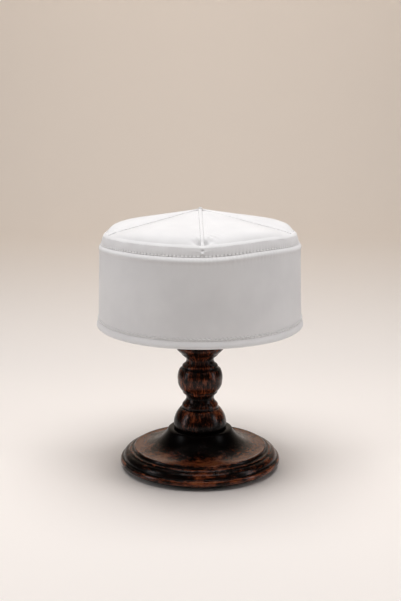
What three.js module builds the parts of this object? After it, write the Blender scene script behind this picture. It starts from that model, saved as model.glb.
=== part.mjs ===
// A prayer cap of white cotton on a turned wooden stand.
// Millimetres, +Z up. The front of the cap faces -Y and its right side +X.
// The origin is the middle of the stand's foot, on the table.
import * as THREE from "three";

// The gap between pieces that touch on the real thing
const clearance = 0.3;

// The cap's size across, side to side (width) and front to back (depth)
const rimWidth = 182;
const rimDepth = 200;
const edgeWidth = 175.6;
const edgeDepth = 183;
const ridgeWidth = 168;
const ridgeDepth = 174.6;

// The cap's heights: the rim's above the table, then each from the one before
const rimHeight = 131;
const bandHeight = 71.9;
const shoulderRise = 8.5;
const crownRise = 21.5;
const knotRise = 1.6;

// The cloth
const bandWall = 1.4;
const hemWall = 1;
const hemHeight = 7.6;
const shoulderWall = 1.5;
const shoulderTuck = 7;
const lipWall = 1.9;
const lipHeight = 2;
const panelWall = 1.4;
const weltWidth = 2.9;
const weltProud = 0.5;
const knotWidth = 3;

// The crown's folds: how far the panels puff up and how steeply they fall to the
// lip, how deep, wide and long the deepest pits at a seam's lower end are, and the
// share of their depth that the welt spans
const puffHeight = 6;
const puffSteepness = 28;
const pitDepth = 4;
const pitWidth = 6.5;
const pitLength = 2.6;
const weltSpan = 0.7;

// How far the cap's top edge is pulled up where it is highest
const topLift = 4;

// The stand
const footRadius = 72;
const baseHeight = 35.3;
const ballRadius = 20;
const columnHeight = 76.4;
const postRadius = 11;
const headRadius = 46;
const headWall = 7;

// How finely round things and the crown's cloth are faceted
const capSteps = 64;
const baseSteps = 48;
const columnSteps = 28;
const postSteps = 24;
const knotSteps = 10;
const panelColumns = 12;
const panelRows = 10;
const weltColumns = 2;
const weltRows = 9;

const cotton = { color: 0xf4f3f1, roughness: 0.9, metalness: 0 };
const wood = { color: 0x2c150c, roughness: 0.28, metalness: 0 };

// Heights above the table
const edgeZ = rimHeight + bandHeight;
const ridgeZ = edgeZ + shoulderRise;
const peakZ = ridgeZ + crownRise;

// The seams of the crown, by their azimuth in degrees from the front to the right:
// the share of the puff that each holds down, how many degrees that crease takes on
// the seam's near side and past it, and the share of pitDepth at its lower end
const seams = [
  { side: "front", azimuth: 1.3, held: 0.2, near: 6, past: 6, pits: 1 },
  { side: "right", azimuth: 78, held: 0.85, near: 26, past: 9, pits: 0.25 },
  { side: "back", azimuth: 180, held: 0.2, near: 6, past: 6, pits: 0.6 },
  { side: "left", azimuth: 282, held: 0.85, near: 9, past: 26, pits: 0.25 },
];

// The crown's panels, by the seams that they lie between
const panels = [
  { quarter: "front_right", from: seams[0].azimuth, to: seams[1].azimuth },
  { quarter: "back_right", from: seams[1].azimuth, to: seams[2].azimuth },
  { quarter: "back_left", from: seams[2].azimuth, to: seams[3].azimuth },
  { quarter: "front_left", from: seams[3].azimuth, to: seams[0].azimuth + 360 },
];

// The waves of the top edge: the share of topLift at each azimuth
const waves = [
  { azimuth: 0, share: 0.28 },
  { azimuth: 40, share: 0.95 },
  { azimuth: 90, share: 0.3 },
  { azimuth: 140, share: 0.3 },
  { azimuth: 180, share: 0.2 },
  { azimuth: 230, share: 0.2 },
  { azimuth: 270, share: 0.04 },
  { azimuth: 315, share: 0.4 },
  { azimuth: 360, share: 0.28 },
];

// The turned outline of the base, outwards and up from the middle of its foot:
// where each stretch ends, as shares of footRadius and baseHeight, and how far
// it swells (or, below 0, is hollowed) as a share of its own length
const baseTurning = [
  { stretch: "foot", radius: 0.855, height: 0, bulge: 0, cuts: 1 },
  { stretch: "foot edge", radius: 1, height: 0.147, bulge: 0.05, cuts: 3 },
  { stretch: "lower roll", radius: 0.99, height: 0.244, bulge: 0.08, cuts: 2 },
  { stretch: "groove", radius: 0.961, height: 0.275, bulge: -0.1, cuts: 2 },
  { stretch: "upper roll", radius: 0.892, height: 0.425, bulge: 0.18, cuts: 4 },
  { stretch: "bead", radius: 0.853, height: 0.455, bulge: 0.25, cuts: 2 },
  { stretch: "cove", radius: 0.83, height: 0.513, bulge: -0.2, cuts: 2 },
  { stretch: "plate edge", radius: 0.796, height: 0.518, bulge: 0.2, cuts: 2 },
  { stretch: "plate and skirt", radius: 0.4, height: 0.97, bulge: -0.16, cuts: 8 },
  { stretch: "ledge", radius: 0.335, height: 1, bulge: 0.1, cuts: 1 },
  { stretch: "top", radius: 0, height: 1, bulge: 0, cuts: 1 },
];

// The turned outline of the column, as shares of ballRadius and columnHeight
const columnTurning = [
  { stretch: "foot", radius: 1.16, height: 0, bulge: 0, cuts: 1 },
  { stretch: "bell wall", radius: 1.185, height: 0.071, bulge: 0.04, cuts: 1 },
  { stretch: "bell shoulder", radius: 0.9, height: 0.233, bulge: 0.08, cuts: 4 },
  { stretch: "bell rim", radius: 0.81, height: 0.246, bulge: -0.1, cuts: 1 },
  { stretch: "lower ring", radius: 0.765, height: 0.297, bulge: 0.12, cuts: 2 },
  { stretch: "lower neck in", radius: 0.62, height: 0.361, bulge: -0.1, cuts: 2 },
  { stretch: "lower neck out", radius: 0.76, height: 0.416, bulge: -0.12, cuts: 2 },
  { stretch: "cup", radius: 0.79, height: 0.445, bulge: 0.1, cuts: 1 },
  { stretch: "lower ball", radius: 1, height: 0.568, bulge: 0.11, cuts: 3 },
  { stretch: "upper ball", radius: 0.915, height: 0.707, bulge: 0.08, cuts: 3 },
  { stretch: "ball rim", radius: 0.8, height: 0.728, bulge: 0, cuts: 1 },
  { stretch: "upper ring", radius: 0.775, height: 0.759, bulge: 0.1, cuts: 1 },
  { stretch: "upper neck in", radius: 0.61, height: 0.822, bulge: -0.17, cuts: 3 },
  { stretch: "upper neck out", radius: 0.73, height: 0.859, bulge: -0.1, cuts: 1 },
  { stretch: "collar ring", radius: 0.865, height: 0.9, bulge: 0.06, cuts: 2 },
  { stretch: "collar flare", radius: 1.06, height: 0.95, bulge: 0.04, cuts: 2 },
  { stretch: "collar edge", radius: 1.02, height: 1, bulge: 0.2, cuts: 2 },
  { stretch: "top", radius: 0, height: 1, bulge: 0, cuts: 1 },
];

const part = new THREE.Group();

function addPiece(name, geometry, finish) {
  const piece = new THREE.Mesh(geometry, new THREE.MeshStandardMaterial(finish));
  piece.name = name;
  part.add(piece);
}

// A piece turned about the vertical axis from its outline
function turned(outline, steps) {
  return new THREE.LatheGeometry(outline, steps).rotateX(Math.PI / 2);
}

// The outline of a turned piece that stands on a height, from its table
function turnedOutline(table, radius, height, foot) {
  const outline = [new THREE.Vector2(0, foot)];
  for (const row of table) {
    const from = outline[outline.length - 1];
    const to = new THREE.Vector2(row.radius * radius, foot + row.height * height);
    const outwards = new THREE.Vector2(to.y - from.y, from.x - to.x);
    const pulled = from.clone().lerp(to, 0.5).addScaledVector(outwards, 2 * row.bulge);
    const stretch = new THREE.QuadraticBezierCurve(from, pulled, to);
    outline.push(...stretch.getPoints(row.cuts).slice(1));
  }
  return outline;
}

// The half width of the side band's outer face at a height
function bandRadius(z) {
  const foot = rimWidth / 2 - hemWall - clearance;
  return THREE.MathUtils.mapLinear(z, rimHeight, edgeZ, foot, edgeWidth / 2);
}

// How much deeper than wide the cap's plan is at a height
function planStretch(z) {
  const rim = rimDepth / rimWidth;
  const edge = edgeDepth / edgeWidth;
  const ridge = ridgeDepth / ridgeWidth;
  if (z < edgeZ) {
    return THREE.MathUtils.lerp(rim, edge, (z - rimHeight) / bandHeight);
  }
  return THREE.MathUtils.lerp(edge, ridge, Math.min((z - edgeZ) / shoulderRise, 1));
}

// How far the top edge is pulled up at an azimuth in radians
function edgeLift(azimuth) {
  const degrees = THREE.MathUtils.euclideanModulo(THREE.MathUtils.radToDeg(azimuth), 360);
  const next = waves.findIndex((row) => row.azimuth > degrees);
  const from = waves[next - 1];
  const to = waves[next];
  const along = THREE.MathUtils.smoothstep(degrees, from.azimuth, to.azimuth);
  return topLift * THREE.MathUtils.lerp(from.share, to.share, along);
}

// A ring of cloth: its section is turned about the axis, stretched to the cap's
// oval plan, and pulled up with the waves, from nothing at the hem to all of it
// at the top edge
function clothRing(section) {
  const ring = turned([...section, section[0]], capSteps);
  const points = ring.attributes.position;
  for (let i = 0; i < points.count; i++) {
    const x = points.getX(i);
    const y = points.getY(i);
    const z = points.getZ(i);
    const aboveHem = (z - rimHeight - hemHeight) / (bandHeight - hemHeight);
    const pulled = THREE.MathUtils.clamp(aboveHem, 0, 1);
    points.setY(i, y * planStretch(z));
    points.setZ(i, z + pulled * edgeLift(Math.atan2(x, -y)));
  }
  return ring;
}

// A closed sheet of cloth: pointAt(across, along, face) is a point of its outer
// face where face is 0, and of its inner face where face is 1
function clothSheet(columns, rows, pointAt) {
  const corners = [];
  for (const face of [0, 1]) {
    for (let row = 0; row <= rows; row++) {
      for (let column = 0; column <= columns; column++) {
        corners.push(...pointAt(column / columns, row / rows, face).toArray());
      }
    }
  }
  const at = (column, row, face) => (face * (rows + 1) + row) * (columns + 1) + column;
  const faces = [];
  const quad = (a, b, c, d) => faces.push(a, b, c, a, c, d);
  for (let row = 0; row < rows; row++) {
    const next = row + 1;
    for (let column = 0; column < columns; column++) {
      const beside = column + 1;
      quad(at(column, row, 0), at(column, next, 0), at(beside, next, 0), at(beside, row, 0));
      quad(at(column, row, 1), at(beside, row, 1), at(beside, next, 1), at(column, next, 1));
    }
    quad(at(0, row, 0), at(0, row, 1), at(0, next, 1), at(0, next, 0));
    quad(at(columns, row, 0), at(columns, next, 0), at(columns, next, 1), at(columns, row, 1));
  }
  for (let column = 0; column < columns; column++) {
    const beside = column + 1;
    quad(at(column, 0, 0), at(beside, 0, 0), at(beside, 0, 1), at(column, 0, 1));
    quad(at(column, rows, 0), at(column, rows, 1), at(beside, rows, 1), at(beside, rows, 0));
  }
  const sheet = new THREE.BufferGeometry();
  sheet.setAttribute("position", new THREE.Float32BufferAttribute(corners, 3));
  sheet.setIndex(faces);
  return sheet;
}

// Side band: a tall strip of cloth, doubled over at its rounded top edge
function sideBand() {
  const foot = rimHeight + hemWall + clearance;
  const roll = bandWall / 2;
  const rollZ = edgeZ - roll;
  const middle = bandRadius(rollZ) - roll;
  const section = [new THREE.Vector2(bandRadius(foot), foot)];
  for (const turn of [0, 0.25, 0.5, 0.75, 1]) {
    const angle = turn * Math.PI;
    section.push(new THREE.Vector2(middle + roll * Math.cos(angle), rollZ + roll * Math.sin(angle)));
  }
  section.push(new THREE.Vector2(bandRadius(foot) - bandWall, foot));
  return clothRing(section);
}

// Hem: a strip folded round the foot of the side band, outside and inside
function hem() {
  const top = rimHeight + hemHeight;
  const fold = rimHeight + hemWall;
  const softened = hemWall / 2;
  const outside = (z) => bandRadius(z) + clearance + hemWall;
  const inside = (z) => bandRadius(z) - bandWall - clearance - hemWall;
  return clothRing([
    new THREE.Vector2(outside(rimHeight) - softened, rimHeight),
    new THREE.Vector2(outside(fold), fold),
    new THREE.Vector2(outside(top), top - softened),
    new THREE.Vector2(outside(top) - hemWall, top),
    new THREE.Vector2(outside(fold) - hemWall, fold),
    new THREE.Vector2(inside(fold) + hemWall, fold),
    new THREE.Vector2(inside(top) + hemWall, top),
    new THREE.Vector2(inside(top), top - softened),
    new THREE.Vector2(inside(fold), fold),
    new THREE.Vector2(inside(rimHeight) + softened, rimHeight),
  ]);
}

// Shoulder strip: it rises from inside the band's top edge to below the lip
const lipFoot = ridgeZ - lipHeight / 2;
function shoulderStrip() {
  const foot = edgeZ - shoulderTuck;
  const bend = edgeZ - bandWall / 2;
  const top = lipFoot - clearance;
  const tucked = (z) => bandRadius(z) - bandWall - clearance;
  const upper = ridgeWidth / 2 - clearance;
  return clothRing([
    new THREE.Vector2(tucked(foot), foot),
    new THREE.Vector2(tucked(bend), bend),
    new THREE.Vector2(upper, top),
    new THREE.Vector2(upper - shoulderWall, top),
    new THREE.Vector2(tucked(bend) - shoulderWall, bend),
    new THREE.Vector2(tucked(foot) - shoulderWall, foot),
  ]);
}

// Ridge lip: the thin raised edge where crown and shoulder strip are sewn together
function ridgeLip() {
  const outer = ridgeWidth / 2;
  const inner = outer - lipWall;
  const top = lipFoot + lipHeight;
  const softened = lipWall / 3;
  return clothRing([
    new THREE.Vector2(outer, lipFoot),
    new THREE.Vector2(outer, top - softened),
    new THREE.Vector2(outer - softened, top),
    new THREE.Vector2(inner + softened, top),
    new THREE.Vector2(inner, top - softened),
    new THREE.Vector2(inner, lipFoot),
  ]);
}

// The crown ends against the lip, in the same oval plan
const crownRadius = ridgeWidth / 2 - lipWall - clearance;
const crownStretch = ridgeDepth / ridgeWidth;

// How deep the pits beside a seam's lower end are: outward is the share of the
// way from the peak to the lip, and aside the angle from the seam in degrees
function pitAt(seam, outward, aside) {
  const fromLip = (1 - outward) * crownRadius;
  const fromSeam = outward * crownRadius * Math.sin(THREE.MathUtils.degToRad(aside));
  const along = Math.exp(-((fromLip / pitLength - 1.4) ** 2));
  return seam.pits * pitDepth * along * Math.exp(-((fromSeam / pitWidth) ** 2));
}

// The height of the crown's outer face
function crownHeight(azimuth, outward) {
  const degrees = THREE.MathUtils.radToDeg(azimuth);
  let loose = 1;
  let pits = 0;
  for (const seam of seams) {
    const aside = THREE.MathUtils.euclideanModulo(degrees - seam.azimuth + 180, 360) - 180;
    const crease = aside < 0 ? seam.near : seam.past;
    loose -= seam.held * Math.exp(-((aside / crease) ** 2));
    pits += Math.abs(aside) < 45 ? pitAt(seam, outward, aside) : 0;
  }
  const puff = puffHeight * outward * (1 - outward ** puffSteepness) * loose;
  return ridgeZ + crownRise * (1 - outward) + outward * edgeLift(azimuth) + puff - pits;
}

function crownPoint(azimuth, outward, height) {
  const radius = outward * crownRadius;
  return new THREE.Vector3(
    radius * Math.sin(azimuth),
    -radius * crownStretch * Math.cos(azimuth),
    height,
  );
}

// Crown panel: a quarter of the crown, from one seam to the next
const besideWelt = weltWidth / 2 + clearance;
function crownPanel(fromAzimuth, toAzimuth) {
  const innermost = (1.5 * besideWelt) / crownRadius;
  return clothSheet(panelColumns, panelRows, (across, along, face) => {
    const outward = THREE.MathUtils.lerp(innermost, 1, 1 - (1 - along) ** 2);
    const radius = outward * crownRadius;
    const trimmed = Math.asin(besideWelt / radius);
    const spread = (1 - Math.cos(Math.PI * across)) / 2;
    const azimuth = THREE.MathUtils.lerp(fromAzimuth + trimmed, toAzimuth - trimmed, spread);
    return crownPoint(azimuth, outward, crownHeight(azimuth, outward) - face * panelWall);
  });
}

// Seam welt: the flat felled strip of cloth over a seam of the crown, which
// spans most of the pits at its lower end
const weltStart = Math.max(weltWidth, knotWidth) / 2 + clearance;
function seamWelt(seam) {
  const azimuth = THREE.MathUtils.degToRad(seam.azimuth);
  return clothSheet(weltColumns, weltRows, (across, along, face) => {
    const outward = THREE.MathUtils.lerp(weltStart / crownRadius, 1, 1 - (1 - along) ** 2);
    const sideways = weltWidth * (across - 0.5);
    const height = crownHeight(azimuth, outward) + weltSpan * pitAt(seam, outward, 0);
    const point = crownPoint(azimuth, outward, height);
    point.x += sideways * Math.cos(azimuth);
    point.y += sideways * Math.sin(azimuth);
    point.z += face ? -panelWall : weltProud * Math.sin(Math.PI * across);
    return point;
  });
}

// Peak knot: the short peg of thread where the seams meet
function peakKnot() {
  const radius = knotWidth / 2;
  const foot = peakZ - panelWall;
  const top = peakZ + knotRise;
  const outline = [
    new THREE.Vector2(0, foot),
    new THREE.Vector2(radius, foot),
    new THREE.Vector2(radius, top - radius / 2),
    new THREE.Vector2(radius / 2, top),
    new THREE.Vector2(0, top),
  ];
  return turned(outline, knotSteps);
}

// Post and head: one plain piece inside the cap, which carries the crown along
// its seams
const columnFoot = baseHeight + clearance;
function postAndHead() {
  const foot = columnFoot + columnHeight + clearance;
  const carried = (radius) => {
    const outward = radius / crownRadius;
    return peakZ - crownRise * outward - panelWall - clearance;
  };
  const under = carried(headRadius) - headWall;
  const outline = [
    new THREE.Vector2(0, foot),
    new THREE.Vector2(postRadius, foot),
    new THREE.Vector2(postRadius, under - headWall),
    new THREE.Vector2(postRadius + headWall, under),
    new THREE.Vector2(headRadius - headWall / 2, under),
    new THREE.Vector2(headRadius, under + headWall / 2),
    new THREE.Vector2(headRadius, carried(headRadius) - headWall / 4),
    new THREE.Vector2(headRadius - headWall / 2, carried(headRadius - headWall / 2)),
    new THREE.Vector2(0, carried(0)),
  ];
  return turned(outline, postSteps);
}

addPiece("stand_base", turned(turnedOutline(baseTurning, footRadius, baseHeight, 0), baseSteps), wood);
const columnOutline = turnedOutline(columnTurning, ballRadius, columnHeight, columnFoot);
addPiece("stand_column", turned(columnOutline, columnSteps), wood);
addPiece("stand_post", postAndHead(), wood);

addPiece("side_band", sideBand(), cotton);
addPiece("hem_band", hem(), cotton);
addPiece("shoulder_strip", shoulderStrip(), cotton);
addPiece("ridge_lip", ridgeLip(), cotton);
for (const panel of panels) {
  const from = THREE.MathUtils.degToRad(panel.from);
  const to = THREE.MathUtils.degToRad(panel.to);
  addPiece("crown_panel_" + panel.quarter, crownPanel(from, to), cotton);
}
for (const seam of seams) {
  addPiece("seam_welt_" + seam.side, seamWelt(seam), cotton);
}
addPiece("peak_knot", peakKnot(), cotton);

export default part;
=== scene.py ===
# A white cotton prayer cap on a turned wooden stand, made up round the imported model.
# Metres, +Z up. The front of the cap faces -Y and its right side +X.
import math

import bpy
import numpy as np
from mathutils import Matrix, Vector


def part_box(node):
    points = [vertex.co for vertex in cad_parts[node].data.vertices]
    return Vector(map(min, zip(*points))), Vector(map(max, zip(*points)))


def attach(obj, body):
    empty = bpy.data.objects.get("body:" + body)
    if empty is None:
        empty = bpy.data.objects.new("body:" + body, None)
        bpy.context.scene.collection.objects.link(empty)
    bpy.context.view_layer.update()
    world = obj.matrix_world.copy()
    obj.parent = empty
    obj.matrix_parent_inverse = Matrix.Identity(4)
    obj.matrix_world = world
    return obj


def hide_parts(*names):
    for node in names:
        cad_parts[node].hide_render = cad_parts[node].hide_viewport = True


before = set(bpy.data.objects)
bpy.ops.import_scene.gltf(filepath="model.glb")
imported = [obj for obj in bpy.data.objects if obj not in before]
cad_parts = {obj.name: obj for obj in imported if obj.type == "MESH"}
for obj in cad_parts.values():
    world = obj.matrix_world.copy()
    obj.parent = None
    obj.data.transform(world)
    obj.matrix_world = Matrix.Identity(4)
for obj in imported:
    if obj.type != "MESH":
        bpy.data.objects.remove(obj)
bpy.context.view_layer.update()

mm = 0.001

# Camera: it stands in front of the cap and a little above it, and looks down on
# the crown.
camera = bpy.data.objects.new("camera", bpy.data.cameras.new("camera"))
camera.data.lens = 65
camera.data.sensor_width = 36
camera_pitch = 11.3
camera.location = (0.0004, -0.9414, 0.3395)
camera.rotation_euler = (math.radians(90 - camera_pitch), 0, 0)
bpy.context.scene.collection.objects.link(camera)
bpy.context.scene.camera = camera


# Turned foot: one disc of hardwood. Rolls, a bead and a cove are turned into its
# edge, a hollow skirt rises from its plate to the column, and it is stained
# brown-black, rubbed through in streaks and lacquered.
foot_radius = 72 * mm
foot_low, foot_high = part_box("stand_base")
foot_turning = [
    {"stretch": "foot", "radius": 0.855, "height": 0, "bulge": 0, "rubbed": -0.2},
    {"stretch": "foot edge", "radius": 1, "height": 0.147, "bulge": 0.05, "rubbed": -0.05},
    {"stretch": "lower roll", "radius": 0.99, "height": 0.244, "bulge": 0.08, "rubbed": 0.02},
    {"stretch": "groove", "radius": 0.961, "height": 0.275, "bulge": -0.1, "rubbed": -0.15},
    {"stretch": "upper roll", "radius": 0.892, "height": 0.425, "bulge": 0.18, "rubbed": -0.1},
    {"stretch": "bead", "radius": 0.853, "height": 0.455, "bulge": 0.25, "rubbed": 0.05},
    {"stretch": "cove", "radius": 0.83, "height": 0.513, "bulge": -0.2, "rubbed": -0.2},
    {"stretch": "plate edge", "radius": 0.796, "height": 0.518, "bulge": 0.2, "rubbed": 0.5},
    {"stretch": "plate and skirt", "radius": 0.4, "height": 0.97, "bulge": -0.16, "rubbed": -0.8},
    {"stretch": "ledge", "radius": 0.335, "height": 1, "bulge": 0.1, "rubbed": -0.95},
]


# The outline of a turned piece, outwards and up from the edge of its foot: each
# stretch is an arc that swells by its bulge, or is hollowed where that is below 0,
# and ends as far rubbed as its row says. A point is a radius, a height and the rub.
def turned_outline(turning, radius, foot, height):
    points = [(turning[0]["radius"] * radius, foot, turning[0]["rubbed"])]
    for row in turning[1:]:
        r0, z0, rub0 = points[-1]
        r1 = row["radius"] * radius
        z1 = foot + row["height"] * height
        r_pull = (r0 + r1) / 2 + 2 * row["bulge"] * (z1 - z0)
        z_pull = (z0 + z1) / 2 - 2 * row["bulge"] * (r1 - r0)
        for t in np.linspace(0, 1, 33)[1:]:
            near, middle, far = (1 - t) ** 2, 2 * t * (1 - t), t * t
            r = near * r0 + middle * r_pull + far * r1
            z = near * z0 + middle * z_pull + far * z1
            points.append((r, z, rub0 + (row["rubbed"] - rub0) * t))
    return np.array(points)


# How far along a row of points each of them lies
def way_along(points):
    return np.concatenate([[0], np.cumsum(np.hypot(*np.diff(points, axis=0).T))])


# The same outline with points an even step apart and its corners eased by sanding
def sanded(outline, step, passes):
    length = way_along(outline[:, :2])
    even = np.linspace(0, length[-1], round(length[-1] / step) + 1)
    points = np.stack([np.interp(even, length, column) for column in outline.T], 1)
    for _ in range(passes):
        points[1:-1] = (points[:-2] + 2 * points[1:-1] + points[2:]) / 4
    return points


# How far each point of an outline stands proud of its neighbourhood, or below 0
# how deep it lies in a groove: rubbing wears the first, and the stain fills the last
def standing_proud(points, reach):
    padded = np.concatenate([np.repeat(points[:1], reach, 0), points, np.repeat(points[-1:], reach, 0)])
    window = np.hanning(2 * reach + 1)
    mean = np.stack([np.convolve(padded[:, k], window / window.sum(), "valid") for k in (0, 1)], 1)
    slope = np.gradient(points, axis=0)
    outwards = np.stack([slope[:, 1], -slope[:, 0]], 1) / np.hypot(*slope.T)[:, None]
    return ((points - mean) * outwards).sum(1)


# A mesh object from arrays of corners and faces, shaded smooth
def mesh_piece(name, corners, faces, finish):
    mesh = bpy.data.meshes.new(name)
    mesh.from_pydata(np.asarray(corners).tolist(), [], [list(face) for face in faces])
    mesh.polygons.foreach_set("use_smooth", np.ones(len(mesh.polygons), bool))
    mesh.materials.append(finish)
    mesh.update()
    piece = bpy.data.objects.new(name, mesh)
    bpy.context.scene.collection.objects.link(piece)
    return piece


# The faces of a grid of corners, row by row; it may close on itself along its rows
# (the last column meets the first) and across them
def grid_faces(rows, columns, closed_rows=False, closed_columns=False):
    row = np.arange(rows if closed_columns else rows - 1)[:, None]
    column = np.arange(columns if closed_rows else columns - 1)[None, :]
    above = (row + 1) % rows
    beside = (column + 1) % columns
    corners = [(row, column), (row, beside), (above, beside), (above, column)]
    quads = np.broadcast_arrays(*[r * columns + c for r, c in corners])
    return np.stack([quad.ravel() for quad in quads], 1)


# A number kept on each corner of a piece, for its finish to read
def keep_number(piece, name, numbers):
    piece.data.attributes.new(name, "FLOAT", "POINT").data.foreach_set("value", np.ravel(numbers))


# How much more an edge is rubbed for each millimetre that it stands proud, and how
# many points of the outline to either side it is measured against
edge_wear = 0.9
edge_reach = 5


# A piece turned about the vertical axis; each corner keeps its way round the axis,
# its way along the outline and how far it is rubbed, for the stain to follow
def turned_piece(name, outline, steps, finish):
    rubbed = outline[:, 2]
    outline = outline[:, :2]
    angle = np.arange(steps) * 2 * math.pi / steps
    radius = outline[:, :1]
    height = outline[:, 1:] + 0 * angle
    corners = np.stack([radius * np.sin(angle), -radius * np.cos(angle), height], 2).reshape(-1, 3)
    ends = [[0, 0, outline[0, 1]], [0, 0, outline[-1, 1]]]
    faces = grid_faces(len(outline), steps, closed_rows=True).tolist()
    first = len(corners)
    last_ring = first - steps
    for k in range(steps):
        beside = (k + 1) % steps
        faces.append([first, beside, k])
        faces.append([first + 1, last_ring + k, last_ring + beside])
    piece = mesh_piece(name, np.concatenate([corners, ends]), faces, finish)
    along = np.repeat(way_along(outline), steps)
    ways = [np.tile(np.cos(angle), len(outline)), np.tile(np.sin(angle), len(outline)), along]
    turning = np.concatenate([np.stack(ways, 1), [[0, 0, 0], [0, 0, along[-1]]]])
    kept = piece.data.attributes.new("turning", "FLOAT_VECTOR", "POINT")
    kept.data.foreach_set("vector", turning.ravel())
    rubbed = rubbed + edge_wear * standing_proud(outline, edge_reach) / mm
    keep_number(piece, "rubbed", np.concatenate([np.repeat(rubbed, steps), [0, 0]]))
    return piece


# Adds a shader node: its settings by name, and its sockets by name or number, each
# with a value or the output that it takes
def add_node(tree, kind, sockets, **settings):
    made = tree.nodes.new(kind)
    for name, value in settings.items():
        setattr(made, name, value)
    for key, value in sockets.items():
        if isinstance(value, bpy.types.NodeSocket):
            tree.links.new(value, made.inputs[key])
        else:
            made.inputs[key].default_value = value
    return made


# A number worked out from one or two others
def reckoned(tree, operation, first, second=0.0, clamped=False):
    sockets = {0: first, 1: second}
    return add_node(tree, "ShaderNodeMath", sockets, operation=operation, use_clamp=clamped).outputs[0]


# A number read through a ramp: low becomes start and high becomes end
def ramped(tree, value, low, high, start=0.0, end=1.0, bend="LINEAR"):
    sockets = {"Value": value, "From Min": low, "From Max": high, "To Min": start, "To Max": end}
    return add_node(tree, "ShaderNodeMapRange", sockets, interpolation_type=bend).outputs["Result"]


# Cloudy noise between 0 and 1
def noise(tree, vector, scale, detail, roughness):
    sockets = {"Vector": vector, "Scale": scale, "Detail": detail, "Roughness": roughness}
    return add_node(tree, "ShaderNodeTexNoise", sockets).outputs["Fac"]


# The way the surface faces where a fine relief lies on it
def relieved(tree, relief, strength, depth):
    sockets = {"Height": relief, "Strength": strength, "Distance": depth}
    return add_node(tree, "ShaderNodeBump", sockets).outputs["Normal"]


# A colour read from a number by its stops
def stained(tree, value, stops):
    ramp = add_node(tree, "ShaderNodeValToRGB", {"Fac": value})
    for _ in range(len(stops) - 2):
        ramp.color_ramp.elements.new(0.5)
    for element, (place, colour) in zip(ramp.color_ramp.elements, stops):
        element.position = place
        element.color = (*colour, 1)
    return ramp.outputs["Color"]


# An empty finish and its node tree
def new_finish(name):
    finish = bpy.data.materials.new(name)
    finish.use_nodes = True
    finish.node_tree.nodes.clear()
    return finish, finish.node_tree


# Ends a finish with its surface, which takes these sockets
def shaded(tree, sockets):
    surface = add_node(tree, "ShaderNodeBsdfPrincipled", sockets)
    add_node(tree, "ShaderNodeOutputMaterial", {"Surface": surface.outputs[0]})


# Lacquered wood: brown-black stain, rubbed through to red-brown wood in patches, flecks
# and streaks, and duller than the wood that is rubbed bare. streak_round and streak_along
# say how fine the streaks are round the piece and along it, and rubbing adds to the rub
# that each stretch of the turning has.
stain_black = (0.0025, 0.0015, 0.0012)
stain_dark = (0.010, 0.0035, 0.002)
stain_brown = (0.048, 0.0115, 0.0045)
rubbed_red = (0.17, 0.040, 0.014)
rubbed_orange = (0.27, 0.080, 0.028)


def lacquered_wood(name, streak_round, streak_along, rubbing):
    finish, tree = new_finish(name)
    turning = add_node(tree, "ShaderNodeAttribute", {}, attribute_name="turning").outputs["Vector"]
    rubbed = add_node(tree, "ShaderNodeAttribute", {}, attribute_name="rubbed").outputs["Fac"]
    place = add_node(tree, "ShaderNodeTexCoord", {}).outputs["Object"]

    def stretched(share):
        scale = (share * streak_round, share * streak_round, share * streak_along)
        return add_node(tree, "ShaderNodeMapping", {"Vector": turning, "Scale": scale}).outputs["Vector"]

    patches = noise(tree, place, scale=48, detail=1, roughness=0.5)
    flecks = noise(tree, place, scale=170, detail=3, roughness=0.6)
    streaks = noise(tree, stretched(1), scale=1, detail=5, roughness=0.7)
    grain = noise(tree, stretched(5), scale=1, detail=2, roughness=0.6)
    worn = reckoned(tree, "ADD", rubbed, rubbing)
    for texture, amount in [(patches, 1.0), (flecks, 0.7), (streaks, 1.6), (grain, 0.7)]:
        swing = reckoned(tree, "SUBTRACT", texture, 0.5)
        worn = reckoned(tree, "ADD", worn, reckoned(tree, "MULTIPLY", swing, amount))
    bare = ramped(tree, worn, low=-0.3, high=0.5)
    colour = stained(tree, bare, [
        (0.0, stain_black),
        (0.32, stain_dark),
        (0.52, stain_brown),
        (0.72, rubbed_red),
        (1.0, rubbed_orange),
    ])
    shaded(tree, {
        "Base Color": colour,
        "Roughness": ramped(tree, bare, low=0, high=1, start=0.27, end=0.16),
        "Normal": relieved(tree, grain, strength=0.1, depth=0.3 * mm),
        "Specular IOR Level": ramped(tree, bare, low=0, high=1, start=0.07, end=0.35),
    })
    return finish


sanding_step = 0.45 * mm
sanding_passes = 2
foot_facets = 240
foot_finish = lacquered_wood("lacquered wood of the foot", streak_round=8, streak_along=420, rubbing=0.02)
foot_outline = turned_outline(foot_turning, foot_radius, foot_low.z, foot_high.z - foot_low.z)
foot_outline = sanded(foot_outline, sanding_step, sanding_passes)
foot = turned_piece("turned_foot", foot_outline, foot_facets, foot_finish)
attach(foot, "root")
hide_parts("stand_base")


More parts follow.
